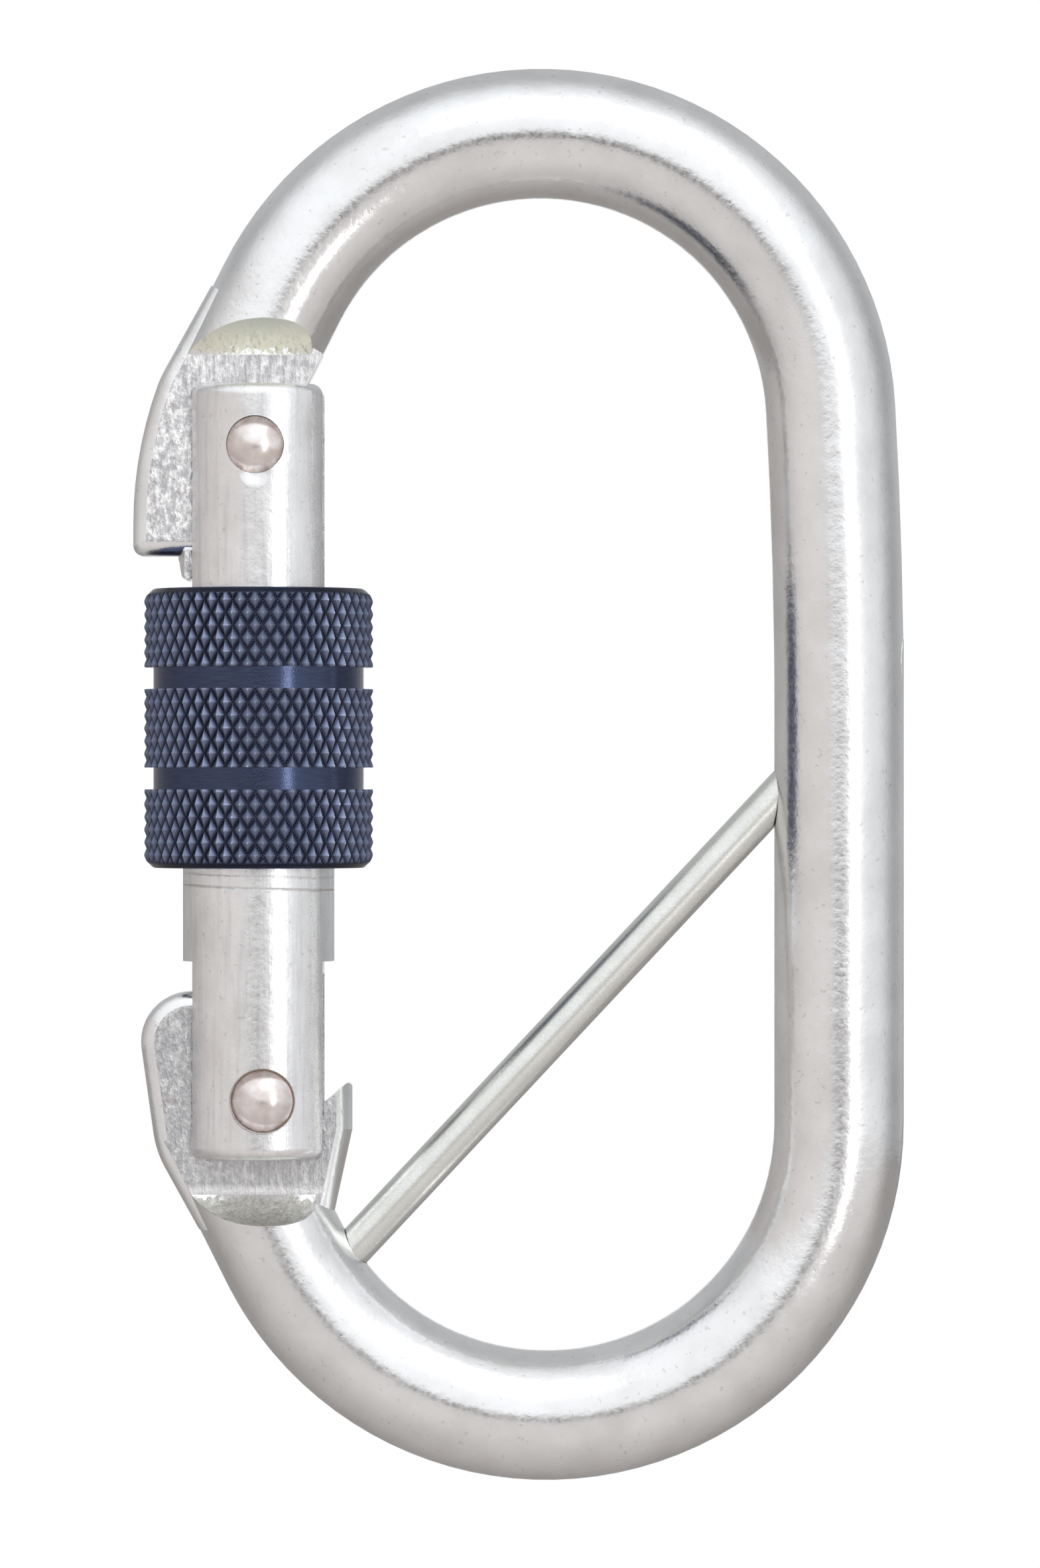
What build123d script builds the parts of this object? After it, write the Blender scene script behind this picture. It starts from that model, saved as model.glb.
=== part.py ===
from build123d import *
import math
import os

# Locking carabiner, oval, with a screw sleeve and a captive bar.
# All lengths are millimetres and all angles are degrees.
# X runs from the gate to the spine, Y from the front to the back, Z up.

# Rod of the body
ROD_D = 10.1
ROD_R = ROD_D / 2
LOWER_BOW_R = 22.8
UPPER_BOW_R = 22.6
LOWER_BOW_X = 2.1
LOWER_BOW_Z = -27.1
SPINE_BEND_Z = 5.0
SPINE_BEND_R = 422.8
SPINE_LEAN = 3.2
ARM_LEAN = 26.5
HINGE_ARM_L = 12.0
NOSE_ARM_L = 9.0

# Gate: a round bar with a flat milled on both sides at each end
GATE_D = 11.8
GATE_R = GATE_D / 2
GATE_X = -20.3
GATE_TOP = 30.3
GATE_BOTTOM = -29.85
FLAT_HALF = 5.05
UPPER_FLAT_END = 10.0
LOWER_FLAT_END = -14.5
SLOT_W = 5.6
UPPER_SLOT_FLOOR = 13.0
LOWER_SLOT_ROOF = -15.5
END_ROUND = 0.9
FLAT_CORNER = 0.9
THREAD_START = -7.1
THREAD_TOP = 9.5
THREAD_ROOT_R = 5.35

# Rivets
HINGE_X = -19.85
HINGE_Z = -25.25
LATCH_X = -20.4
LATCH_Z = 25.5
SHANK_D = 3.2
LATCH_SHANK_D = 3.0
HINGE_HEAD_D = 4.7
LATCH_HEAD_D = 4.4
HEAD_SEAT_Y = 4.7
HEAD_RIM_Y = 5.35
HEAD_DOME = 0.75
HINGE_RING_GAP = 0.2
LATCH_RING_GAP = 0.04
RUNNING_GAP = 0.05

# Flat tongues at the two ends of the rod
TONGUE_T = 5.3
TONGUE_HALF = TONGUE_T / 2
SCOOP_HOLLOW = 0.25
NOSE_CREASE_Z = 32.6
NOSE_SCOOP_L = 2.7
HINGE_CREASE_Z = -32.6
HINGE_SCOOP_L = 2.3
EAR_ROUND = 1.25
RIM_R = 3.5
RIM_STRIP = 0.03
SPUR_LEAN = 77.8
NOSE_STEP_Z = 17.0
NOSE_LIP_R = 6.25
LATCH_GAP = 0.2

# Hinge tongue: the plunger presses on its corner, to the right of the rivet
CAM_X = HINGE_X + 2.0
CAM_Z = HINGE_Z + 3.0

# Spring, plunger and the bore they sit in
BORE_D = 5.4
BORE_END = 4.0
PUSHER_D = 5.0
PUSHER_GAP = 0.1
PUSHER_SHOULDER = -12.8
STEM_D = 2.7
STEM_TOP = -8.4
WIRE_D = 0.75
SPRING_D = 5.0
SPRING_PITCH = 1.65
SPRING_GAP = 0.06

# Screw sleeve
SLEEVE_D = 17.82
SLEEVE_TOP = 14.45
SLEEVE_L = 21.7
SLEEVE_BOTTOM = SLEEVE_TOP - SLEEVE_L
SLEEVE_BORE_R = 6.05
SLEEVE_MOUTH_R = 6.4
SLEEVE_MOUTH_L = 7.0
SLEEVE_EDGE = 0.7
SLEEVE_MOUTH_EDGE = 0.35
BAND_L = 6.1
GROOVE_L = 1.7
GROOVE_D = 16.4
RING_BOTTOM = SLEEVE_BOTTOM + 1.6
RING_H = 1.0
RING_IN_R = 6.0
RING_OUT_R = 7.0
RING_SPLIT = 2.0
RING_GAP = 0.15

# Captive bar
BAR_D = 3.05
BAR_START = (-12.67, -36.63)
BAR_END = (19.83, -1.93)
BAR_SINK = 5.0
BAR_FAR = 16.0
BAR_RIM = 0.12
BAR_RIM_DEPTH = 0.6

FAR = 100.0


def on_circle(x, z, radius, angle):
    """The point of a circle at an angle from +X."""
    turn = math.radians(angle)
    return (x + radius * math.cos(turn), z + radius * math.sin(turn))


def along(point, heading, distance):
    """The point a distance away from another on a heading from +X."""
    return on_circle(point[0], point[1], distance, heading)


def upright(shape):
    """Carries a flat drawing of X and Z into the middle plane of the carabiner."""
    return Plane.XZ * shape


def plate(outline, thickness):
    """A plate about the middle plane, from the lines of a closed outline of X and Z."""
    face = upright(make_face(outline))
    return extrude(face, amount=thickness / 2, both=True)


def pin(x, z, radius, y_from, y_to):
    """A round pin or hole across the carabiner."""
    middle = (y_from + y_to) / 2
    return Pos(x, middle, z) * Rot(90, 0, 0) * Cylinder(radius, abs(y_to - y_from))


def standing(radius, z_from, z_to, x=GATE_X):
    """A round rod or hole along the gate."""
    return Pos(x, 0, (z_from + z_to) / 2) * Cylinder(radius, z_to - z_from)


def block(x_from, x_to, y_from, y_to, z_from, z_to):
    """A box between pairs of limits."""
    middle = Pos((x_from + x_to) / 2, (y_from + y_to) / 2, (z_from + z_to) / 2)
    return middle * Box(x_to - x_from, y_to - y_from, z_to - z_from)


def rod_path():
    """The centre line of the rod, from the hinge arm round the spine to the nose arm."""
    foot = on_circle(LOWER_BOW_X, LOWER_BOW_Z, LOWER_BOW_R, 180 + ARM_LEAN)
    hinge_arm = Line(along(foot, 90 + ARM_LEAN, HINGE_ARM_L), foot)
    lower_bow = JernArc(hinge_arm @ 1, hinge_arm % 1, LOWER_BOW_R, 180 - ARM_LEAN)
    spine_low = Line(lower_bow @ 1, (LOWER_BOW_X + LOWER_BOW_R, SPINE_BEND_Z))
    spine_high = JernArc(spine_low @ 1, (0, 1), SPINE_BEND_R, SPINE_LEAN)
    upper_turn = 180 - ARM_LEAN - SPINE_LEAN
    upper_bow = JernArc(spine_high @ 1, spine_high % 1, UPPER_BOW_R, upper_turn)
    tip = upper_bow @ 1
    nose_arm = Line(tip, along((tip.X, tip.Y), 270 - ARM_LEAN, NOSE_ARM_L))
    return Wire([hinge_arm, lower_bow, spine_low, spine_high, upper_bow, nose_arm])


def rod():
    """The round rod, before its ends are flattened."""
    path = upright(rod_path())
    return sweep(Plane(path @ 0, z_dir=path % 0) * Circle(ROD_R), path=path)


def scoop(side, crease, rise):
    """The cutter that flattens one face of one end, with its hollow shoulder beyond a crease."""
    face_y = side * TONGUE_HALF
    low_y, high_y = sorted((face_y, side * FAR))
    low_z, high_z = sorted((crease, crease - math.copysign(10, rise)))
    flat = block(-FAR, -8, low_y, high_y, low_z, high_z)
    depth = ROD_R - TONGUE_HALF
    chord = math.hypot(depth, rise)
    radius = (chord**2 / 4 + SCOOP_HOLLOW**2) / (2 * SCOOP_HOLLOW)
    reach = (radius - SCOOP_HOLLOW) / chord
    centre_y = TONGUE_HALF + depth / 2 + reach * abs(rise)
    centre_z = crease + rise / 2 - math.copysign(reach * depth, rise)
    hollow = Pos(-40, side * centre_y, centre_z) * Rot(0, 90, 0) * Cylinder(radius, 70)
    return flat + (hollow & block(-FAR, FAR, low_y, high_y, -FAR, FAR))


def rim(point, heading):
    """What is kept left of a line, its edge rounded like the side of a rod."""
    middle = along(point, heading + 90, RIM_R - RIM_STRIP)
    turn = Pos(middle[0], 0, middle[1]) * Rot(0, 90 - heading, 0)
    return turn * Cylinder(RIM_R, FAR) + turn * Pos(-FAR / 2, 0, 0) * Box(FAR, FAR, FAR)


def lip_outline():
    """The short lip below the nose tongue's step, with its tip at the outer side."""
    top = NOSE_STEP_Z + 0.5
    return [
        Line((-27.1, top), (-27.1, NOSE_STEP_Z)),
        ThreePointArc((-27.1, NOSE_STEP_Z), (-26.58, 16.78), (-26.37, 16.2)),
        Line((-26.37, 16.2), (-26.25, 15.6)),
        ThreePointArc((-26.25, 15.6), (-26.05, 15.24), (-25.7, 15.1)),
        Line((-25.7, 15.1), (-24.2, 16.4)),
        Line((-24.2, 16.4), (-20.0, top)),
        Line((-20.0, top), (-27.1, top)),
    ]


def nose_outline():
    """The nose tongue with its ear, above the step."""
    ear_side = JernArc((-30.0, 19.5), (0, 1), 31.6, -20)
    ear_neck = JernArc(ear_side @ 1, ear_side % 1, 8.0, -9)
    neck_end = ear_neck @ 1
    ear_end = along((neck_end.X, neck_end.Y), 61, 7.5)
    return [
        Line((-15.3, 32.7), (-17.9, 27.6)),
        Line((-17.9, 27.6), (-16.9, 23.2)),
        Line((-16.9, 23.2), (-16.9, 18.6)),
        Line((-16.9, 18.6), (-18.3, NOSE_STEP_Z)),
        Line((-18.3, NOSE_STEP_Z), (-26.8, NOSE_STEP_Z)),
        Line((-26.8, NOSE_STEP_Z), (-29.2, NOSE_STEP_Z)),
        ThreePointArc((-29.2, NOSE_STEP_Z), (-29.766, 17.234), (-30.0, 17.8)),
        Line((-30.0, 17.8), ear_side @ 0),
        ear_side,
        ear_neck,
        Line(neck_end, ear_end),
        Line(ear_end, (-15.3, 32.7)),
    ]


def latch_notch():
    """The notch in the nose tongue that the latch rivet drops into, open to the eye."""
    reach = LATCH_SHANK_D / 2 + LATCH_GAP
    channel = block(LATCH_X, -10, -TONGUE_T, TONGUE_T, LATCH_Z - reach, LATCH_Z + reach)
    return channel + pin(LATCH_X, LATCH_Z, reach, -TONGUE_T, TONGUE_T)


def hinge_outline():
    """The hinge tongue: ear, cam for the plunger, and the spur at the inner side."""
    ear_centre = (-25.5, -20.75)
    ear_r = 3.9
    ear_lean = 278
    ear_left = on_circle(ear_centre[0], ear_centre[1], ear_r, ear_lean - 90)
    ear_bend = on_circle(ear_centre[0], ear_centre[1], ear_r, 135)
    ear_top = (ear_centre[0], ear_centre[1] + ear_r)
    ear_side = Line(ear_left, along(ear_left, ear_lean, 6.6))
    ear_foot = JernArc(ear_side @ 1, ear_side % 1, 8.0, 21)
    foot_end = ear_foot @ 1
    ear_end = along((foot_end.X, foot_end.Y), ear_lean + 21, 5.4)
    spur_foot = along((-13.0, -27.6), 180 + SPUR_LEAN, 7.8)
    return [
        Line(foot_end, ear_end),
        ear_foot,
        ear_side,
        ThreePointArc(ear_left, ear_bend, ear_top),
        Line(ear_top, (-24.2, ear_top[1])),
        Line((-24.2, ear_top[1]), (-24.2, CAM_Z + 0.8)),
        ThreePointArc((-24.2, CAM_Z + 0.8), (-23.966, CAM_Z + 0.234), (-23.4, CAM_Z)),
        Line((-23.4, CAM_Z), (CAM_X, CAM_Z)),
        Line((CAM_X, CAM_Z), (-15.7, -26.0)),
        Line((-15.7, -26.0), (-13.55, -24.1)),
        ThreePointArc((-13.55, -24.1), (-13.17, -24.02), (-13.0, -24.35)),
        Line((-13.0, -24.35), (-13.0, -27.6)),
        Line((-13.0, -27.6), spur_foot),
        Line(spur_foot, (-16.5, -36.0)),
        Line((-16.5, -36.0), ear_end),
    ]


def ear_edges(shape, reach):
    """The edges of a tongue's two faces that lie outside the gate."""
    at_face = [e for e in shape.edges() if abs(abs(e.center().Y) - TONGUE_HALF) < 0.01]
    return [e for e in at_face if e.center().X < reach]


def nose_tongue():
    """The nose tongue with rounded ear edges and a lip turned to pass inside the sleeve."""
    tongue = plate(nose_outline(), TONGUE_T)
    ear = fillet(ear_edges(tongue, -25.5), EAR_ROUND)
    lip = plate(lip_outline(), TONGUE_T)
    return ear + (lip & standing(NOSE_LIP_R, 0, NOSE_STEP_Z + 0.4))


def hinge_tongue():
    """The hinge tongue with rounded ear edges and a spur that is rounded like the rod."""
    tongue = plate(hinge_outline(), TONGUE_T)
    tongue = fillet(ear_edges(tongue, -26.0), EAR_ROUND)
    return tongue & rim((-13.0, -27.6), 90) & rim((-13.0, -27.6), SPUR_LEAN)


def bar_line():
    """The captive bar's direction, its length between the two surfaces and its angle."""
    run = BAR_END[0] - BAR_START[0]
    rise = BAR_END[1] - BAR_START[1]
    return math.hypot(run, rise), math.degrees(math.atan2(rise, run))


def bar_rod(before, after, radius=BAR_D / 2):
    """A round rod along the captive bar, run on past its two visible ends."""
    length, angle = bar_line()
    first = along(BAR_START, angle, -before)
    middle = along(first, angle, (length + before + after) / 2)
    turn = Rot(0, 90 - angle, 0)
    return Pos(middle[0], 0, middle[1]) * turn * Cylinder(radius, length + before + after)


def body():
    """The bent rod with its tongues, the bar's holes and the rivet's hole."""
    shape = rod()
    for side in (-1, 1):
        shape -= scoop(side, NOSE_CREASE_Z, NOSE_SCOOP_L)
        shape -= scoop(side, HINGE_CREASE_Z, -HINGE_SCOOP_L)
    shape += nose_tongue()
    shape += hinge_tongue()
    shape -= latch_notch()
    shape -= bar_rod(BAR_SINK, BAR_FAR)
    shape -= bar_rod(BAR_RIM_DEPTH, BAR_RIM_DEPTH, BAR_D / 2 + BAR_RIM)
    shape -= pin(HINGE_X, HINGE_Z, SHANK_D / 2 + RUNNING_GAP, -TONGUE_T, TONGUE_T)
    return shape


def captive_bar():
    """The bar, flush with the outer face of the spine."""
    inner = bar_rod(BAR_SINK, ROD_R)
    outer = bar_rod(BAR_SINK, BAR_FAR) & standing(ROD_R, -20, 40, LOWER_BOW_X + LOWER_BOW_R)
    return inner + outer


def rivet_seat(x, z, head_r, shank_r):
    """The hole for a rivet through both cheeks of the gate, with a seat for each head."""
    hole = pin(x, z, shank_r, -FAR, FAR)
    for side in (-1, 1):
        hole += pin(x, z, head_r, side * HEAD_SEAT_Y, side * FAR)
    return hole


def corner_cut(edge, side, end, toward):
    """What comes off one corner of a flat to round it."""
    turn_x = edge - side * FLAT_CORNER
    turn_z = end - toward * FLAT_CORNER
    low_x, high_x = sorted((turn_x, edge + side))
    low_z, high_z = sorted((turn_z, end + toward))
    square = block(low_x, high_x, -GATE_D, GATE_D, low_z, high_z)
    return square - pin(turn_x, turn_z, FLAT_CORNER, -GATE_D, GATE_D)


def gate():
    """The round bar with flats, slots, rivet seats and the spring's bore."""
    bar = standing(GATE_R, GATE_BOTTOM, GATE_TOP)
    bar = fillet(bar.edges(), END_ROUND)
    skin = standing(GATE_R + 1, THREAD_START, THREAD_TOP)
    bar -= skin - standing(THREAD_ROOT_R, THREAD_START, THREAD_TOP)
    for side in (-1, 1):
        edge = GATE_X + side * FLAT_HALF
        low_x, high_x = sorted((edge, edge + side * FAR))
        bar -= block(low_x, high_x, -FAR, FAR, UPPER_FLAT_END, FAR)
        bar -= block(low_x, high_x, -FAR, FAR, -FAR, LOWER_FLAT_END)
        bar -= corner_cut(edge, side, GATE_TOP, 1)
        bar -= corner_cut(edge, side, GATE_BOTTOM, -1)
    bar -= block(-FAR, FAR, -SLOT_W / 2, SLOT_W / 2, UPPER_SLOT_FLOOR, FAR)
    bar -= block(-FAR, FAR, -SLOT_W / 2, SLOT_W / 2, -FAR, LOWER_SLOT_ROOF)
    bar -= standing(BORE_D / 2, LOWER_SLOT_ROOF - 1, BORE_END)
    bar -= rivet_seat(HINGE_X, HINGE_Z, HINGE_HEAD_D / 2 + HINGE_RING_GAP, SHANK_D / 2)
    bar -= rivet_seat(LATCH_X, LATCH_Z, LATCH_HEAD_D / 2 + LATCH_RING_GAP, LATCH_SHANK_D / 2)
    return bar


def rivet(x, z, shank_r, head_r):
    """A rivet with a low dome at each end."""
    dome_r = (head_r**2 + HEAD_DOME**2) / (2 * HEAD_DOME)
    shape = pin(x, z, shank_r, -HEAD_SEAT_Y, HEAD_SEAT_Y)
    for side in (-1, 1):
        crown = Pos(x, side * (HEAD_RIM_Y + HEAD_DOME - dome_r), z) * Sphere(dome_r)
        head = pin(x, z, head_r, side * HEAD_SEAT_Y, side * (HEAD_RIM_Y + HEAD_DOME))
        shape += head & crown
    return shape


def sleeve_profile():
    """Half of the sleeve's section: distance from the gate's axis, height."""
    outer = SLEEVE_D / 2
    inner = GROOVE_D / 2
    points = [
        (SLEEVE_BORE_R, SLEEVE_BOTTOM),
        (outer - SLEEVE_EDGE, SLEEVE_BOTTOM),
        (outer, SLEEVE_BOTTOM + SLEEVE_EDGE),
    ]
    for band in (1, 2):
        groove = SLEEVE_BOTTOM + band * BAND_L + (band - 1) * GROOVE_L
        points += [
            (outer, groove),
            (inner, groove),
            (inner, groove + GROOVE_L),
            (outer, groove + GROOVE_L),
        ]
    points += [
        (outer, SLEEVE_TOP - SLEEVE_EDGE),
        (outer - SLEEVE_EDGE, SLEEVE_TOP),
        (SLEEVE_MOUTH_R + SLEEVE_MOUTH_EDGE, SLEEVE_TOP),
        (SLEEVE_MOUTH_R, SLEEVE_TOP - SLEEVE_MOUTH_EDGE),
        (SLEEVE_MOUTH_R, SLEEVE_TOP - SLEEVE_MOUTH_L),
        (SLEEVE_BORE_R, SLEEVE_TOP - SLEEVE_MOUTH_L - SLEEVE_MOUTH_R + SLEEVE_BORE_R),
    ]
    return Polyline(*points, close=True)


def screw_sleeve():
    """The sleeve with two grooves, a wide mouth for the nose and a groove for the ring."""
    section = upright(make_face(sleeve_profile()))
    sleeve = Pos(GATE_X, 0, 0) * revolve(section, Axis.Z)
    low = RING_BOTTOM - RING_GAP
    high = RING_BOTTOM + RING_H + RING_GAP
    return sleeve - standing(RING_OUT_R + RING_GAP, low, high)


def friction_ring():
    """A split ring of spring steel, around the gate and inside the sleeve."""
    top = RING_BOTTOM + RING_H
    ring = standing(RING_OUT_R, RING_BOTTOM, top) - standing(RING_IN_R, RING_BOTTOM, top)
    return ring - block(GATE_X, FAR, -RING_SPLIT / 2, RING_SPLIT / 2, -FAR, FAR)


def spring_pusher():
    """The plunger: a flat foot on the cam, a shoulder and a stem for the spring."""
    foot = CAM_Z + PUSHER_GAP
    barrel = standing(PUSHER_D / 2, foot, PUSHER_SHOULDER)
    barrel = chamfer(barrel.edges().group_by(Axis.Z)[-1], 0.3)
    return barrel + standing(STEM_D / 2, PUSHER_SHOULDER, STEM_TOP)


def gate_spring():
    """The compression spring between the plunger's shoulder and the end of the bore."""
    bottom = PUSHER_SHOULDER + SPRING_GAP + WIRE_D / 2
    height = BORE_END - SPRING_GAP - WIRE_D / 2 - bottom
    radius = (SPRING_D - WIRE_D) / 2
    line = Helix(SPRING_PITCH, height, radius, center=(GATE_X, 0, bottom))
    return sweep(Plane(line @ 0, z_dir=line % 0) * Circle(WIRE_D / 2), path=line, is_frenet=True)


PARTS = {
    "body": body,
    "captive_bar": captive_bar,
    "gate": gate,
    "hinge_rivet": lambda: rivet(HINGE_X, HINGE_Z, SHANK_D / 2, HINGE_HEAD_D / 2),
    "latch_rivet": lambda: rivet(LATCH_X, LATCH_Z, LATCH_SHANK_D / 2, LATCH_HEAD_D / 2),
    "screw_sleeve": screw_sleeve,
    "friction_ring": friction_ring,
    "gate_spring": gate_spring,
    "spring_pusher": spring_pusher,
}

os.makedirs("parts", exist_ok=True)
for name, make in PARTS.items():
    export_step(make(), f"parts/{name}.step")
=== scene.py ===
import math

import bmesh
import bpy
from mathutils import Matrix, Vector


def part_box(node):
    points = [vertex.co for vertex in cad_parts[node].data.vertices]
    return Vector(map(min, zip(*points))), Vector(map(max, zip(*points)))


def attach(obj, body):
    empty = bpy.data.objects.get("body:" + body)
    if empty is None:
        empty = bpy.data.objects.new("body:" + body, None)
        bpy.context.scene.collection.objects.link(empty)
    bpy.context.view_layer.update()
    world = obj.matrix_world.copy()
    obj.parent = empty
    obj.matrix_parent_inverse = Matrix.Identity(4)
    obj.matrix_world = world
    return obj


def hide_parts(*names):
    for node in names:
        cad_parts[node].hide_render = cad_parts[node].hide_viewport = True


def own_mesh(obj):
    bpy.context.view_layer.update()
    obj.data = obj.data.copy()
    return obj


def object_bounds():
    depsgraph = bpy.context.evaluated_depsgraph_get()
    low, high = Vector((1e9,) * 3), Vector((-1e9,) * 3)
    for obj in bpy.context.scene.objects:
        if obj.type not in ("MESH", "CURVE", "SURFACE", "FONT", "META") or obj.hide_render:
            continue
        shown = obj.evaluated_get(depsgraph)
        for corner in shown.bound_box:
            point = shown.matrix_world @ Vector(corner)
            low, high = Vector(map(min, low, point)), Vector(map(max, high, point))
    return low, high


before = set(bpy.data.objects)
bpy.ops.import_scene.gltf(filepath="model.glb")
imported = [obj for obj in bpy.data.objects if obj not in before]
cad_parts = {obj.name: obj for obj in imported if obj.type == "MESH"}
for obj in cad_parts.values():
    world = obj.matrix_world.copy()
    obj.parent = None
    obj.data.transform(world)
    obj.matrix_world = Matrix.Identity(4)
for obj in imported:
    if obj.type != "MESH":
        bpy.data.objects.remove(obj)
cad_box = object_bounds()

MM = 0.001

# Sleeve, measured from its CAD node
SLEEVE_LOW, SLEEVE_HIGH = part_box("screw_sleeve")
SLEEVE_X = (SLEEVE_LOW.x + SLEEVE_HIGH.x) / 2
SLEEVE_R = (SLEEVE_HIGH.x - SLEEVE_LOW.x) / 2
SLEEVE_MIDDLE = (SLEEVE_LOW.z + SLEEVE_HIGH.z) / 2
BORE_R = 6.05 * MM
MOUTH_R = 6.4 * MM
MOUTH_L = 7.0 * MM
MOUTH_EDGE = 0.35 * MM
BAND_L = 6.1 * MM
GROOVE_L = 1.7 * MM
GROOVE_R = 8.2 * MM
SLEEVE_EDGE = 0.7 * MM

# Knurl: two families of grooves that cross and leave pyramids
KNURLS = 46
KNURL_RISE = 1.97 * MM
KNURL_DEPTH = 0.37 * MM
KNURL_BLUNT = 0.93
KNURL_COLUMNS = 10
KNURL_STEP = 0.1 * MM

# Thread on the gate, with its foot's and crest's half widths as shares of the pitch
THREAD_PITCH = 1.25 * MM
THREAD_LOW = -7.1 * MM
THREAD_HIGH = 9.3 * MM
THREAD_ROOT_R = 5.3 * MM
THREAD_CREST_R = 5.88 * MM
THREAD_FOOT = 0.48
THREAD_CREST = 0.14
THREAD_STEPS = 72

# Gate, rivets and the hollow shoulders of the flattened ends
GATE_X = SLEEVE_X
HINGE_MIDDLE = sum(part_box("hinge_rivet"), Vector()) / 2
LATCH_MIDDLE = sum(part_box("latch_rivet"), Vector()) / 2
TONGUE_HALF = 2.65 * MM
SHOULDER_DEPTH = 2.4 * MM
SHOULDER_HOLLOW = 0.25 * MM
RIVET_R = 2.25 * MM
CREASE = 32.6 * MM
# Each shoulder's crease height, and how far the shoulder rises from there
SHOULDERS = ((CREASE, 2.7 * MM), (-CREASE, -2.3 * MM))

# Skin of the flattened ends: flats lie within this depth, and where the outer ear starts and is full
FLAT_HALF = 2.9 * MM
EAR_START = -25.0 * MM
EAR_FULL = -26.2 * MM

# Marks on the gate: turned lines as (height, strength), their lean, and the dent under the latch
GATE_LINES = ((-7.85 * MM, 0.3), (-8.8 * MM, 0.7))
LINE_HALF = 0.13 * MM
LINE_LEAN = -0.036
DENT_DROP = 2.1 * MM
DENT_ACROSS = 1.3 * MM
DENT_UP = 1.25 * MM

# Studio, in metres: floor, panel behind, and the lights as (offset, width, height, watts)
FLOOR_DROP = 0.15
FLOOR_HALF = 1.3
PANEL_AWAY = 1.4
PANEL_HALF = 0.3
LIGHTS = {
    "key": ((0.15, -0.5, 0.6), 0.6, 0.4, 0.6),
    "window": ((0.126, -0.22, 0.02), 0.034, 0.2, 0.065),
}

# Camera
FRAME_H = 122.2 * MM
FRAME_SHIFT_X = 0.08 * MM
FRAME_SHIFT_Z = -0.75 * MM
CAMERA_AWAY = 0.6
SENSOR = 36.0


class Nodes:
    """A node tree, with short calls that add its nodes."""

    def __init__(self, tree):
        self.tree = tree

    def add(self, kind, inputs=None, **settings):
        node = self.tree.nodes.new(kind)
        for key, value in settings.items():
            setattr(node, key, value)
        for key, value in (inputs or {}).items():
            self.feed(node.inputs[key], value)
        return node

    def feed(self, socket, value):
        if isinstance(value, bpy.types.NodeSocket):
            self.tree.links.new(value, socket)
        else:
            socket.default_value = value

    def math(self, operation, a, b=0.0):
        return self.add("ShaderNodeMath", {0: a, 1: b}, operation=operation).outputs[0]

    def total(self, first, *others):
        for other in others:
            first = self.math("ADD", first, other)
        return first

    def product(self, first, *others):
        for other in others:
            first = self.math("MULTIPLY", first, other)
        return first

    def less(self, a, b):
        return self.math("SUBTRACT", a, b)

    def gap(self, a, b):
        """How far two numbers are apart."""
        return self.math("ABSOLUTE", self.less(a, b))

    def reach(self, first, second):
        """The length of the flat vector with these two parts."""
        flat = self.add("ShaderNodeCombineXYZ", {0: first, 1: second}).outputs[0]
        length = self.add("ShaderNodeVectorMath", {0: flat}, operation="LENGTH")
        return length.outputs["Value"]

    def ramp(self, value, low, high):
        """0 below low, 1 above high and smooth between."""
        inputs = {0: value, 1: low, 2: high}
        node = self.add("ShaderNodeMapRange", inputs, interpolation_type="SMOOTHSTEP")
        return node.outputs[0]

    def spread(self, value, low, high, out_low=0.0, out_high=1.0):
        """Stretches a range of values to another range, and holds it there."""
        inputs = {0: value, 1: low, 2: high, 3: out_low, 4: out_high}
        return self.add("ShaderNodeMapRange", inputs, clamp=True).outputs[0]

    def blend(self, share, low, high):
        """Low where share is 0 and high where it is 1, for numbers."""
        span = self.math("SUBTRACT", high, low)
        return self.math("ADD", self.math("MULTIPLY", share, span), low)

    def tint(self, share, low, high):
        """Colour low where share is 0 and high where it is 1."""
        node = self.add("ShaderNodeMix", data_type="RGBA")
        self.feed(node.inputs[0], share)
        for socket, value in ((node.inputs[6], low), (node.inputs[7], high)):
            self.feed(socket, (*value, 1.0) if isinstance(value, tuple) else value)
        return node.outputs[2]


class Shader(Nodes):
    """A Principled material, with the object's coordinates whole and as across, depth and height."""

    def __init__(self, name, colour, metallic, roughness):
        self.material = bpy.data.materials.new(name)
        self.material.use_nodes = True
        super().__init__(self.material.node_tree)
        self.bsdf = self.tree.nodes["Principled BSDF"]
        self.set("Base Color", (*colour, 1.0))
        self.set("Metallic", metallic)
        self.set("Roughness", roughness)
        self.place = self.add("ShaderNodeTexCoord").outputs["Object"]
        parts = self.add("ShaderNodeSeparateXYZ", {0: self.place}).outputs
        self.across, self.depth, self.height = parts

    def set(self, socket, value):
        self.feed(self.bsdf.inputs[socket], value)

    def stretched(self, scale):
        """Object coordinates multiplied along X, Y and Z."""
        node = self.add("ShaderNodeMapping", {"Vector": self.place, "Scale": scale})
        return node.outputs[0]

    def noise(self, size, detail=2.0, vector=None, roughness=0.5):
        """Noise from 0 to 1 with features of a size in metres."""
        inputs = {
            "Vector": vector or self.place,
            "Scale": 1.0 / size,
            "Detail": detail,
            "Roughness": roughness,
        }
        return self.add("ShaderNodeTexNoise", inputs).outputs[0]

    def normal(self, share, low, high):
        """Normal low where share is 0 and high where it is 1."""
        node = self.add("ShaderNodeMix", data_type="VECTOR")
        for place, value in ((0, share), (4, low), (5, high)):
            self.feed(node.inputs[place], value)
        return node.outputs[1]

    def bump(self, height, distance, before=None):
        inputs = {"Height": height, "Distance": distance, "Strength": 1.0}
        if before is not None:
            inputs["Normal"] = before
        return self.add("ShaderNodeBump", inputs).outputs[0]


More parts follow.
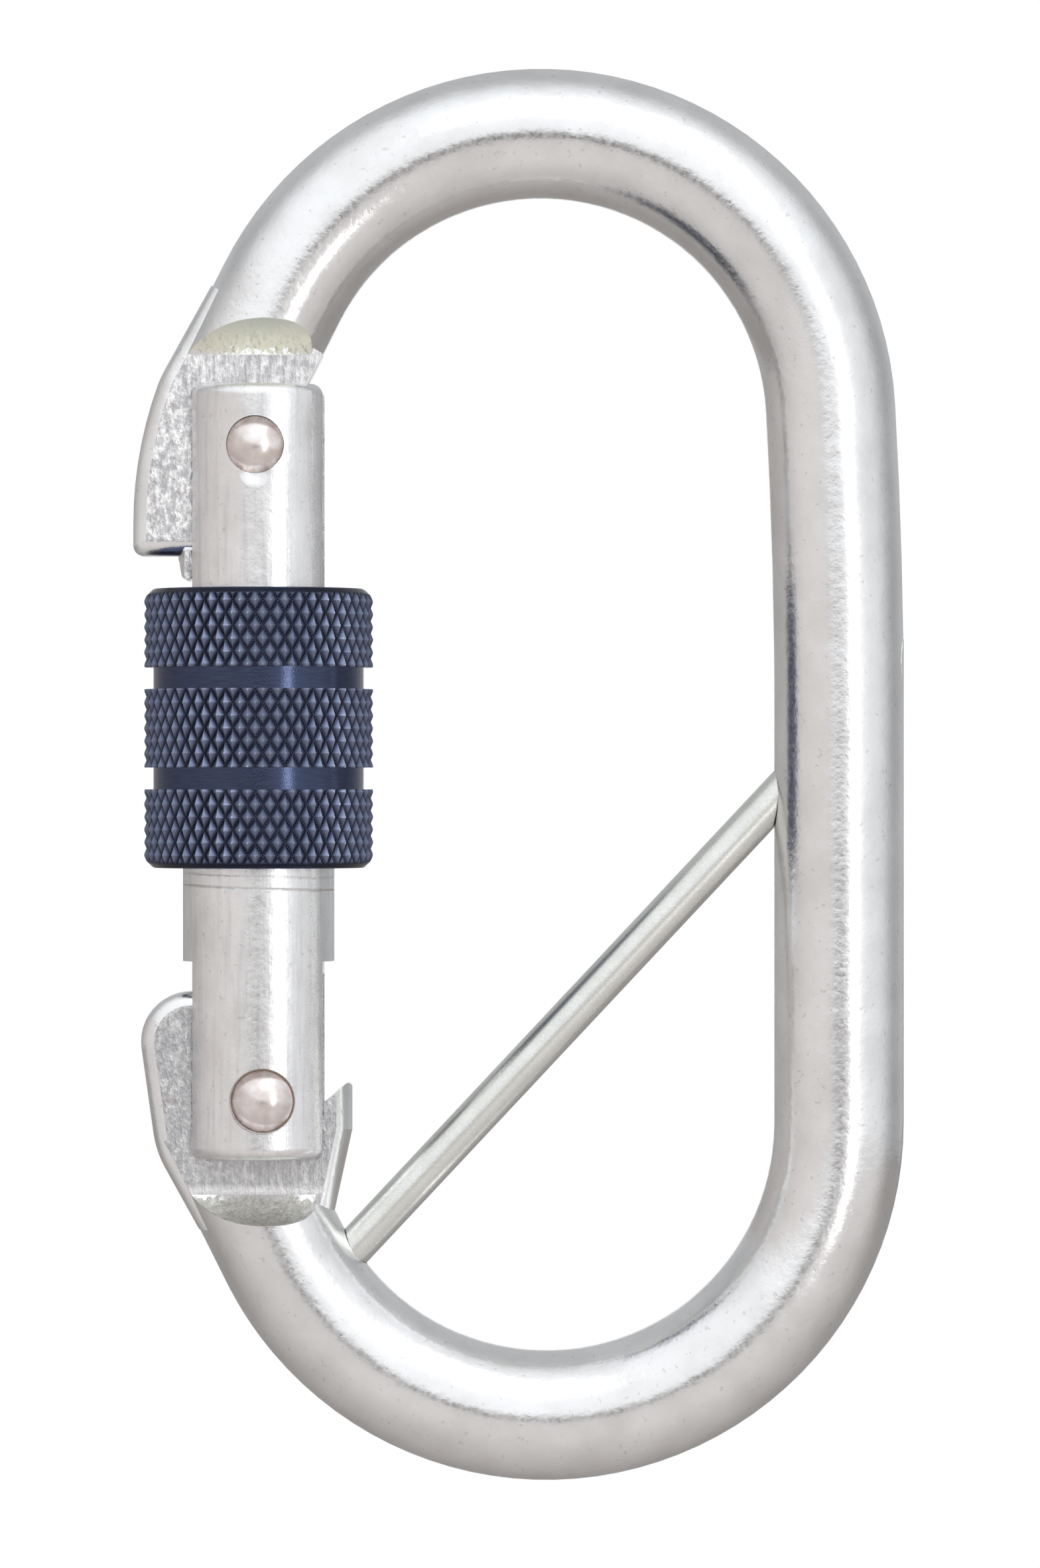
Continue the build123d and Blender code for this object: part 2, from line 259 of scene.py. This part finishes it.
def zinc_skin(shader, light, dark):
    """Bright zinc: clouded colour, an orange-peel skin, pits and fine lines along it."""
    cloud = shader.noise(3.5 * MM, 4.0)
    patch = shader.spread(cloud, 0.35, 0.7)
    grain = shader.noise(0.32 * MM, 2.0)
    mottle = shader.noise(1.1 * MM, 3.0, roughness=0.6)
    pit = shader.spread(shader.noise(0.5 * MM, 2.0), 0.66, 0.72)
    colour = shader.tint(patch, light, dark)
    colour = shader.tint(shader.product(pit, 0.25), colour, (0.35, 0.34, 0.33))
    rough = shader.blend(shader.spread(grain, 0.3, 0.75), 0.17, 0.27)
    scratch = shader.noise(0.16 * MM, 2.0, shader.stretched((1.0, 1.0, 0.04)))
    fine = shader.total(grain, shader.product(scratch, 0.15), shader.product(pit, -0.8))
    wave = shader.bump(mottle, 0.03 * MM)
    return colour, rough, shader.bump(fine, 0.005 * MM, wave)


def shoulder_mask(shader, crease, rise):
    """1 on the hollow shoulder beyond a crease: the skin of the cylinder that cut it."""
    side = math.copysign(1.0, rise)
    chord = math.hypot(SHOULDER_DEPTH, rise)
    radius = (chord**2 / 4 + SHOULDER_HOLLOW**2) / (2 * SHOULDER_HOLLOW)
    reach = (radius - SHOULDER_HOLLOW) / chord
    centre_y = TONGUE_HALF + SHOULDER_DEPTH / 2 + reach * abs(rise)
    centre_z = crease + rise / 2 - side * reach * SHOULDER_DEPTH
    depth = shader.math("ABSOLUTE", shader.depth)
    distance = shader.reach(shader.less(depth, centre_y), shader.less(shader.height, centre_z))
    on_skin = shader.math("LESS_THAN", shader.gap(distance, radius), 0.04 * MM)
    beyond = shader.product(shader.less(shader.height, crease), side)
    tears = shader.noise(0.3 * MM, 3.0, shader.stretched((1.0, 1.0, 0.4)), 0.6)
    ragged = shader.spread(tears, 0.42, 0.68, 0.0, 0.7 * MM)
    beyond = shader.math("GREATER_THAN", beyond, ragged)
    raised = shader.math("GREATER_THAN", depth, TONGUE_HALF + 0.01 * MM)
    gate_side = shader.math("LESS_THAN", shader.across, 0.0)
    return shader.product(on_skin, beyond, raised, gate_side)


def flat_colour(shader, coarse, ear, glint):
    """The forged flats: light and dark grain, glints on the outer ear, darker towards the hinge end.
    """
    colour = shader.tint(shader.spread(coarse, 0.3, 0.75), (0.56, 0.56, 0.575), (0.99, 0.99, 1.0))
    colour = shader.tint(shader.product(ear, glint), colour, (1.0, 1.0, 1.0))
    darker_to_hinge = shader.spread(shader.height, 10.0 * MM, -10.0 * MM, 0.0, 0.5)
    return shader.tint(darker_to_hinge, colour, (0.4, 0.4, 0.41))


def upper_shoulder_colour(shader, streak):
    """The upper shoulder: pale yellow, greyer towards its top, with dark scars at the crease."""
    scar = shader.noise(0.4 * MM, 3.0, shader.stretched((1.0, 1.0, 0.1)), 0.7)
    near = shader.spread(shader.height, CREASE + 2.0 * MM, CREASE + 0.3 * MM)
    scar = shader.product(shader.spread(scar, 0.52, 0.66), near)
    colour = shader.tint(shader.spread(streak, 0.35, 0.7), (0.83, 0.83, 0.68), (0.95, 0.945, 0.83))
    pale = shader.spread(shader.height, CREASE + 1.0 * MM, CREASE + 2.6 * MM)
    colour = shader.tint(shader.product(pale, 0.85), colour, (0.74, 0.76, 0.71))
    return shader.tint(shader.product(scar, 0.7), colour, (0.42, 0.42, 0.34))


def body_material():
    """The rod: bright zinc, with grainy flats and tinted shoulders at the tongues."""
    shader = Shader("zinc_rod", (0.8, 0.8, 0.79), 1.0, 0.26)
    colour, rough, skin = zinc_skin(shader, (0.93, 0.935, 0.94), (0.83, 0.83, 0.83))

    geometry = shader.add("ShaderNodeNewGeometry")
    facing = shader.add("ShaderNodeSeparateXYZ", {0: geometry.outputs["True Normal"]})
    square = shader.math("GREATER_THAN", shader.math("ABSOLUTE", facing.outputs["Y"]), 0.99)
    inner = shader.math("LESS_THAN", shader.math("ABSOLUTE", shader.depth), FLAT_HALF)
    flat = shader.product(square, inner)
    shoulders = [shoulder_mask(shader, *shoulder) for shoulder in SHOULDERS]
    hollow = shader.math("MINIMUM", shader.total(*shoulders), 1.0)
    pressed = shader.math("MINIMUM", shader.total(flat, *shoulders), 1.0)

    streak = shader.noise(0.35 * MM, 4.0, shader.stretched((1.0, 1.0, 0.12)), 0.7)
    pebble = shader.noise(0.4 * MM, 4.0, shader.stretched((1.0, 1.0, 0.6)), 0.65)
    ear = shader.spread(shader.across, EAR_START, EAR_FULL)
    drawn = shader.product(shader.less(streak, 0.5), shader.blend(ear, 0.9, 0.3))
    cast = shader.product(shader.less(pebble, 0.5), shader.blend(ear, 1.3, 1.9))
    coarse = shader.total(drawn, cast, 0.5)
    glint = shader.spread(pebble, 0.54, 0.62)
    lower = shader.tint(shader.spread(coarse, 0.3, 0.75), (0.48, 0.48, 0.44), (0.74, 0.735, 0.7))
    near_crease = shader.gap(shader.height, -CREASE + 0.3 * MM)
    crease_line = shader.product(shader.spread(near_crease, 0.55 * MM, 0.0), pressed)

    colour = shader.tint(flat, colour, flat_colour(shader, coarse, ear, glint))
    colour = shader.tint(shoulders[0], colour, upper_shoulder_colour(shader, streak))
    colour = shader.tint(shoulders[1], colour, lower)
    colour = shader.tint(shader.product(crease_line, 0.8), colour, (0.97, 0.97, 0.97))
    normal = shader.normal(flat, skin, shader.bump(coarse, 0.13 * MM, skin))
    normal = shader.normal(hollow, normal, shader.bump(streak, 0.05 * MM, skin))
    shader.set("Base Color", colour)
    shader.set("Roughness", shader.blend(pressed, rough, shader.blend(glint, 0.46, 0.3)))
    shader.set("Normal", normal)
    return shader.material


def rivet_reach(shader, middle):
    """The distance from a rivet's axis."""
    return shader.reach(shader.less(shader.across, middle.x), shader.less(shader.height, middle.z))


def rivet_ring(shader, middle, inner, outer):
    """1 in a ring about a rivet's axis, soft at both sides."""
    distance = rivet_reach(shader, middle)
    inside = shader.ramp(distance, outer + 0.12 * MM, outer)
    return shader.product(inside, shader.ramp(distance, inner - 0.05 * MM, inner))


def turned_lines(shader):
    """The fine lines turned into the gate below the sleeve, which lean a little."""
    lean = shader.product(shader.less(shader.across, GATE_X), LINE_LEAN)
    level = shader.less(shader.height, lean)
    lines = []
    for place, strength in GATE_LINES:
        line = shader.spread(shader.gap(level, place), LINE_HALF, 0.0)
        lines.append(shader.product(line, strength))
    return shader.total(*lines)


def latch_dent(shader):
    """The shallow dent below the latch rivet, 1 at its middle."""
    across = shader.product(shader.less(shader.across, LATCH_MIDDLE.x), 1 / DENT_ACROSS)
    up = shader.product(shader.less(shader.height, LATCH_MIDDLE.z - DENT_DROP), 1 / DENT_UP)
    return shader.ramp(shader.reach(across, up), 1.0, 0.1)


def gate_material():
    """The gate: the same zinc, drawn along, with dirt round the rivets and turned lines."""
    shader = Shader("zinc_gate", (0.8, 0.8, 0.79), 1.0, 0.28)
    colour, rough, skin = zinc_skin(shader, (0.93, 0.93, 0.935), (0.82, 0.815, 0.815))

    drawn = shader.noise(0.5 * MM, 4.0, shader.stretched((1.0, 1.0, 0.06)), 0.65)
    dark_line = shader.product(shader.spread(drawn, 0.5, 0.68), 0.3)
    hinge_dirt = rivet_ring(shader, HINGE_MIDDLE, 2.3 * MM, 2.42 * MM)
    latch_dirt = rivet_ring(shader, LATCH_MIDDLE, 2.12 * MM, 2.13 * MM)
    turned = turned_lines(shader)
    dent = latch_dent(shader)
    colour = shader.tint(dark_line, colour, (0.5, 0.5, 0.52))
    colour = shader.tint(hinge_dirt, colour, (0.36, 0.25, 0.18))
    colour = shader.tint(latch_dirt, colour, (0.52, 0.48, 0.46))
    colour = shader.tint(shader.product(turned, 0.45), colour, (0.35, 0.35, 0.35))

    relief = shader.total(drawn, shader.product(turned, -3.0), shader.product(dent, -14.0))
    shader.set("Base Color", colour)
    shader.set("Roughness", shader.total(rough, 0.05))
    shader.set("Normal", shader.bump(relief, 0.018 * MM, skin))
    return shader.material


def bar_material():
    """The captive bar: satin, grainy, slightly green grey."""
    shader = Shader("satin_bar", (0.75, 0.75, 0.7), 1.0, 0.3)
    grain = shader.noise(0.2 * MM, 4.0, roughness=0.7)
    cloud = shader.noise(2.5 * MM, 3.0)
    tone = shader.spread(shader.total(grain, shader.product(cloud, 0.5)), 0.45, 1.05)
    shader.set("Base Color", shader.tint(tone, (0.72, 0.73, 0.69), (0.93, 0.94, 0.91)))
    shader.set("Roughness", shader.blend(tone, 0.34, 0.22))
    shader.set("Normal", shader.bump(grain, 0.01 * MM))
    return shader.material


def rivet_material():
    """Nickel rivets with a faint pink cast, domed more by shading, with a hammered skin."""
    shader = Shader("nickel_rivet", (0.78, 0.73, 0.71), 1.0, 0.28)
    hinge = rivet_reach(shader, HINGE_MIDDLE)
    latch = rivet_reach(shader, LATCH_MIDDLE)
    share = shader.product(shader.math("MINIMUM", hinge, latch), 1 / RIVET_R)
    dome = shader.math("POWER", share, 2.0)
    dent = shader.noise(1.1 * MM, 2.0)
    fine = shader.noise(0.2 * MM, 3.0)
    tone = shader.spread(dent, 0.35, 0.65)
    shader.set("Base Color", shader.tint(tone, (0.78, 0.7, 0.675), (0.94, 0.885, 0.865)))
    shader.set("Roughness", shader.blend(fine, 0.2, 0.3))
    domed = shader.bump(dome, -0.3 * MM)
    shader.set("Normal", shader.bump(dent, 0.02 * MM, shader.bump(fine, 0.004 * MM, domed)))
    return shader.material


def sleeve_material():
    """Navy anodised aluminium, paler where the knurl's tips are worn, with painted shade that
    darkens the knurl from its faces down into its valleys.
    """
    shader = Shader("navy_anodise", (0.08, 0.1, 0.17), 1.0, 0.3)
    distance = shader.reach(shader.less(shader.across, SLEEVE_X), shader.depth)
    cloud = shader.noise(1.1 * MM, 4.0)
    grain = shader.noise(0.12 * MM, 3.0)
    turned = shader.noise(0.12 * MM, 2.0, shader.stretched((0.1, 0.1, 1.0)))
    groove_tint = shader.tint(turned, (0.036, 0.046, 0.09), (0.082, 0.102, 0.175))
    # Painted shade: the knurl darkens with depth, from the face colour near its tips to this near
    # black in its valleys.
    valley_shade = shader.tint(cloud, (0.018, 0.02, 0.038), (0.032, 0.038, 0.066))
    face = shader.tint(cloud, (0.16, 0.19, 0.29), (0.225, 0.262, 0.385))
    rise = shader.ramp(distance, SLEEVE_R - KNURL_DEPTH, SLEEVE_R - 0.08 * MM)
    tip = shader.spread(distance, SLEEVE_R - 0.045 * MM, SLEEVE_R, 0.0, 0.6)
    knurl_tint_and_shade = shader.tint(rise, valley_shade, face)
    knurl_tint_and_shade = shader.tint(tip, knurl_tint_and_shade, (0.5, 0.54, 0.62))
    knurled = shader.math("GREATER_THAN", distance, GROOVE_R + 0.1 * MM)
    rough = shader.blend(grain, 0.2, 0.34)
    shader.set("Base Color", shader.tint(knurled, groove_tint, knurl_tint_and_shade))
    shader.set("Roughness", shader.blend(knurled, 0.12, rough))
    shader.set("Normal", shader.bump(grain, 0.008 * MM))
    return shader.material


def spring_material():
    """Drawn spring wire and the turned plunger."""
    shader = Shader("spring_wire", (0.6, 0.6, 0.6), 1.0, 0.3)
    cloud = shader.noise(0.8 * MM, 3.0)
    fine = shader.noise(0.1 * MM, 3.0)
    shader.set("Base Color", shader.tint(cloud, (0.5, 0.5, 0.5), (0.7, 0.7, 0.69)))
    shader.set("Roughness", shader.blend(fine, 0.24, 0.4))
    shader.set("Normal", shader.bump(fine, 0.005 * MM))
    return shader.material


def dress(node, material):
    """Gives a CAD node a better material."""
    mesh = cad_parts[node].data
    mesh.materials.clear()
    mesh.materials.append(material)


def triangle_wave(value):
    """0 at whole numbers, 1 halfway between them."""
    return 1.0 - abs(2.0 * (value % 1.0) - 1.0)


def knurl_radius(turn, height):
    """The radius of the knurled surface at a part of a turn and a height."""
    along = (height - SLEEVE_MIDDLE) / KNURL_RISE
    first = triangle_wave(turn * KNURLS + along)
    second = triangle_wave(turn * KNURLS - along)
    rise = min(first, second, KNURL_BLUNT) / KNURL_BLUNT
    return SLEEVE_R - KNURL_DEPTH * (1.0 - rise)


def sleeve_section():
    """The sleeve's section as (radius, height, knurled) from the bore's foot round to its mouth."""
    low, high = SLEEVE_LOW.z, SLEEVE_HIGH.z
    section = [(BORE_R, low, False), (SLEEVE_R - SLEEVE_EDGE, low, False)]
    steps = round(BAND_L / KNURL_STEP)
    for band in range(3):
        start = low + band * (BAND_L + GROOVE_L)
        if band:
            section.append((GROOVE_R, start, False))
        for step in range(steps + 1):
            height = start + BAND_L * step / steps
            edge = min(height - low, high - height, SLEEVE_EDGE)
            section.append((SLEEVE_R - SLEEVE_EDGE + edge, height, True))
        if band < 2:
            section.append((GROOVE_R, start + BAND_L, False))
    step_down = MOUTH_R - BORE_R
    section += [
        (SLEEVE_R - SLEEVE_EDGE, high, False),
        (MOUTH_R + MOUTH_EDGE, high, False),
        (MOUTH_R, high - MOUTH_EDGE, False),
        (MOUTH_R, high - MOUTH_L, False),
        (BORE_R, high - MOUTH_L - step_down, False),
    ]
    return section


def band_faces(start, above, count):
    """The faces between two closed rows of points."""
    faces = []
    for place in range(count):
        beside = (place + 1) % count
        faces.append((start + place, start + beside, above + beside, above + place))
    return faces


def knurled_sleeve():
    """The sleeve with its real knurl, in place of the plain CAD sleeve."""
    columns = KNURLS * KNURL_COLUMNS
    section = sleeve_section()
    points = []
    for radius, height, knurled in section:
        for column in range(columns):
            turn = column / columns
            reach = min(radius, knurl_radius(turn, height)) if knurled else radius
            angle = 2 * math.pi * turn
            points.append((SLEEVE_X + reach * math.cos(angle), reach * math.sin(angle), height))
    faces = []
    for ring in range(len(section)):
        above = (ring + 1) % len(section)
        faces += band_faces(ring * columns, above * columns, columns)
    return mesh_object("knurled_sleeve", points, faces)


def thread_ridge():
    """The helical thread on the gate, fading out at both ends."""
    turns = (THREAD_HIGH - THREAD_LOW) / THREAD_PITCH - 1.0
    count = round(turns * THREAD_STEPS)
    points = []
    for step in range(count + 1):
        angle = 2 * math.pi * step / THREAD_STEPS
        middle = THREAD_LOW + THREAD_PITCH * (0.5 + step / THREAD_STEPS)
        fade = min(1.0, step / THREAD_STEPS, (count - step) / THREAD_STEPS)
        crest = THREAD_ROOT_R + (THREAD_CREST_R - THREAD_ROOT_R) * fade
        corners = (
            (THREAD_ROOT_R, -THREAD_FOOT),
            (crest, -THREAD_CREST),
            (crest, THREAD_CREST),
            (THREAD_ROOT_R, THREAD_FOOT),
        )
        for radius, offset in corners:
            across = SLEEVE_X + radius * math.cos(angle)
            points.append((across, radius * math.sin(angle), middle + offset * THREAD_PITCH))
    faces = []
    for step in range(count):
        faces += band_faces(step * 4, step * 4 + 4, 4)
    last = count * 4
    faces.append((0, 1, 2, 3))
    faces.append((last + 3, last + 2, last + 1, last))
    return mesh_object("gate_thread", points, faces)


def mesh_object(name, points, faces):
    """A mesh object with its faces all pointing out."""
    mesh = bpy.data.meshes.new(name)
    mesh.from_pydata(points, [], faces)
    work = bmesh.new()
    work.from_mesh(mesh)
    bmesh.ops.recalc_face_normals(work, faces=work.faces)
    work.to_mesh(mesh)
    work.free()
    made = bpy.data.objects.new(name, mesh)
    bpy.context.scene.collection.objects.link(made)
    return made


def springy_copy():
    """The gate's spring as a piece of its own, which rides with the gate."""
    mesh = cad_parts["gate_spring"].data.copy()
    piece = bpy.data.objects.new("springy_spring", mesh)
    bpy.context.scene.collection.objects.link(piece)
    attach(piece, "gate")
    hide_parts("gate_spring")
    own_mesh(piece)


def stage_square(name, half, corner, material):
    """A flat square of the studio, where corner turns two flat coordinates into a point."""
    signs = ((-1, -1), (1, -1), (1, 1), (-1, 1))
    corners = [corner(half * first, half * second) for first, second in signs]
    made = mesh_object(name, corners, [(0, 1, 2, 3)])
    made.data.materials.append(material)


def floor_material():
    """Pale warm paper, darker behind the object."""
    floor = Shader("floor_paper", (0.6, 0.57, 0.55), 0.0, 0.9)
    floor.set("Roughness", floor.blend(floor.noise(0.05), 0.85, 0.95))
    shade = floor.ramp(floor.depth, -0.3, 0.25)
    floor.set("Base Color", floor.tint(shade, (0.86, 0.81, 0.78), (0.42, 0.385, 0.365)))
    return floor.material


def panel_material():
    """A plain white glow."""
    panel = bpy.data.materials.new("white_panel")
    panel.use_nodes = True
    panel.node_tree.nodes.clear()
    nodes = Nodes(panel.node_tree)
    glow = nodes.add("ShaderNodeEmission", {"Strength": 1.0}).outputs[0]
    nodes.add("ShaderNodeOutputMaterial", {"Surface": glow})
    return panel


def studio():
    """A pale floor, a white panel behind, a pale room and two soft lights."""
    centre = (cad_box[0] + cad_box[1]) / 2
    ground = cad_box[0].z - FLOOR_DROP
    stage_square("floor", FLOOR_HALF, lambda x, y: (x, y, ground), floor_material())
    stage_square("panel", PANEL_HALF, lambda x, z: (x, PANEL_AWAY, z), panel_material())
    room()
    for name, (offset, width, height, power) in LIGHTS.items():
        soft_light(name, centre + Vector(offset), centre, width, height, power)


def room():
    """The light around the object: a wide pale ceiling, a duller floor, and a dark line between."""
    world = bpy.data.worlds.new("room")
    bpy.context.scene.world = world
    world.use_nodes = True
    sky = Nodes(world.node_tree)
    place = sky.add("ShaderNodeTexCoord").outputs["Generated"]
    right, back, up = sky.add("ShaderNodeSeparateXYZ", {0: place}).outputs
    front = sky.product(back, -1.0)
    sideways = sky.math("ABSOLUTE", right)

    # The line where ceiling and floor meet drops to the right and rises to the left
    lift = sky.product(sky.math("MAXIMUM", sky.total(right, -0.3), 0.0), 0.5)
    dip = sky.product(sky.math("MINIMUM", sky.total(right, 0.2), 0.0), 0.7)
    height = sky.total(up, lift, dip, 0.06)
    above = sky.ramp(height, 0.02, 0.12)

    ceiling = sky.blend(sky.ramp(front, -0.4, 0.4), 0.52, 1.06)
    ceiling = sky.product(ceiling, sky.blend(sky.ramp(sideways, 0.5, 0.95), 1.0, 0.78))

    ground = sky.blend(sky.ramp(front, -0.9, 0.8), 0.32, 0.64)
    ground = sky.total(ground, sky.product(sky.ramp(right, -0.2, -0.5), 0.1))
    corner = sky.product(sky.ramp(sideways, 0.2, 0.5), sky.ramp(up, -0.2, -0.5))
    ground = sky.product(ground, sky.blend(corner, 1.0, 0.5))

    gap = sky.product(sky.ramp(height, 0.06, 0.0), sky.ramp(height, -0.2, -0.06))
    gap = sky.product(gap, sky.ramp(sideways, 0.3, 0.05))
    light = sky.total(sky.blend(above, ground, ceiling), sky.product(gap, -0.55))

    backdrop = world.node_tree.nodes["Background"]
    sky.feed(backdrop.inputs["Color"], sky.tint(above, (1.0, 0.955, 0.935), (0.965, 0.98, 1.0)))
    sky.feed(backdrop.inputs["Strength"], light)


def soft_light(name, place, target, width, height, power):
    """A rectangular soft box that faces the object."""
    data = bpy.data.lights.new(name, "AREA")
    data.shape = "RECTANGLE"
    data.size = width
    data.size_y = height
    data.energy = power
    lamp = bpy.data.objects.new(name, data)
    lamp.location = place
    lamp.rotation_euler = (target - place).to_track_quat("-Z", "Y").to_euler()
    bpy.context.scene.collection.objects.link(lamp)


def camera():
    """The camera, straight in front, framed as the object is seen."""
    centre = (cad_box[0] + cad_box[1]) / 2
    data = bpy.data.cameras.new("camera")
    data.sensor_fit = "VERTICAL"
    data.sensor_height = SENSOR
    data.lens = SENSOR * CAMERA_AWAY / FRAME_H
    data.clip_end = 10.0
    made = bpy.data.objects.new("camera", data)
    made.location = centre + Vector((FRAME_SHIFT_X, -CAMERA_AWAY, FRAME_SHIFT_Z))
    made.rotation_euler = (math.radians(90), 0, 0)
    bpy.context.scene.collection.objects.link(made)
    bpy.context.scene.camera = made


steel = spring_material()
dress("body", body_material())
dress("gate", gate_material())
dress("captive_bar", bar_material())
rivet_steel = rivet_material()
dress("hinge_rivet", rivet_steel)
dress("latch_rivet", rivet_steel)
for node in ("friction_ring", "gate_spring", "spring_pusher"):
    dress(node, steel)

sleeve = knurled_sleeve()
sleeve.data.materials.append(sleeve_material())
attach(sleeve, "sleeve")
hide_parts("screw_sleeve")

thread = thread_ridge()
thread.data.materials.append(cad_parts["gate"].data.materials[0])
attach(thread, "gate")

springy_copy()

studio()
camera()
bpy.context.scene.view_settings.view_transform = "Standard"
